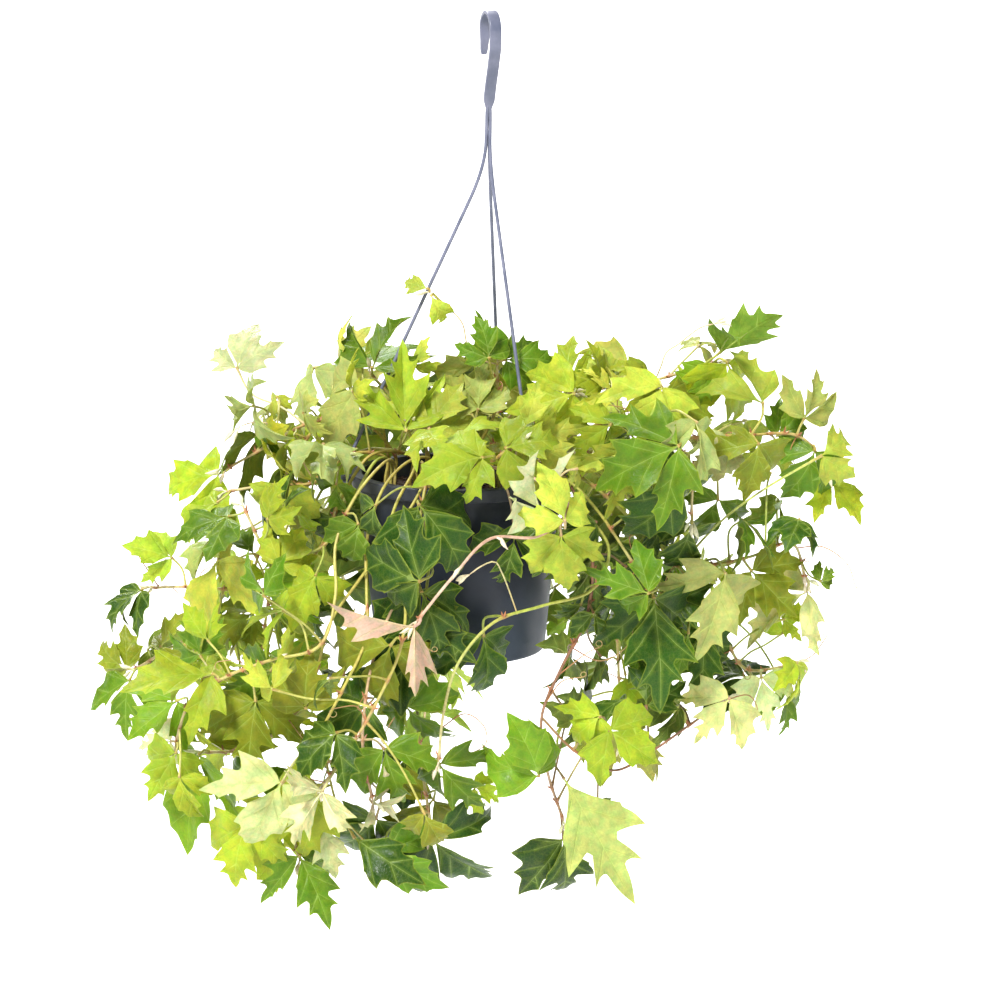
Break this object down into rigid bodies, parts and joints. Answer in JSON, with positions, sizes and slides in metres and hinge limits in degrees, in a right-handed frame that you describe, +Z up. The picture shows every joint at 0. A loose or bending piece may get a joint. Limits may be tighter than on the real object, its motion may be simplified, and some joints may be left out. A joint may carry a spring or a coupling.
{
  "type": "grape ivy in a hanging pot",
  "caption": "Trailing grape ivy with lobed three-part leaves, growing in a round plastic hanging pot on a moulded hook hanger.",
  "frame": {"origin": "the seat of the hook, under the top of its arch, where it rests on what holds the plant up", "axes": "+Z up, +X to the right and -Y towards the plant's full front side"},
  "size_m": [0.6765, 0.5517, 0.7473],
  "materials": {
    "pot_plastic": "satin, dark grey",
    "soil": "matt, dark potting soil",
    "hanger_plastic": "satin, slate grey",
    "leaf": "soft green leaf, slightly glossy above"
  },
  "bodies": {
    "root": {"pot": "pot_plastic", "soil": "soil", "hanger_hook": "hanger_plastic", "hanger_strand_right": "hanger_plastic", "hanger_strand_back": "hanger_plastic", "hanger_strand_left": "hanger_plastic", "vine_01": "leaf", "vine_02": "leaf", "vine_03": "leaf", "vine_04": "leaf", "vine_05": "leaf", "vine_06": "leaf", "vine_07": "leaf", "vine_08": "leaf", "vine_09": "leaf", "vine_10": "leaf", "vine_11": "leaf", "vine_12": "leaf", "vine_13": "leaf", "vine_14": "leaf", "vine_15": "leaf", "vine_16": "leaf", "vine_17": "leaf", "vine_18": "leaf", "vine_19": "leaf", "vine_20": "leaf", "vine_21": "leaf", "vine_22": "leaf", "vine_23": "leaf", "vine_24": "leaf", "vine_25": "leaf", "vine_26": "leaf", "vine_27": "leaf", "vine_28": "leaf", "vine_29": "leaf", "vine_30": "leaf", "vine_31": "leaf", "vine_32": "leaf", "vine_33": "leaf", "vine_34": "leaf"}
  },
  "joints": []
}
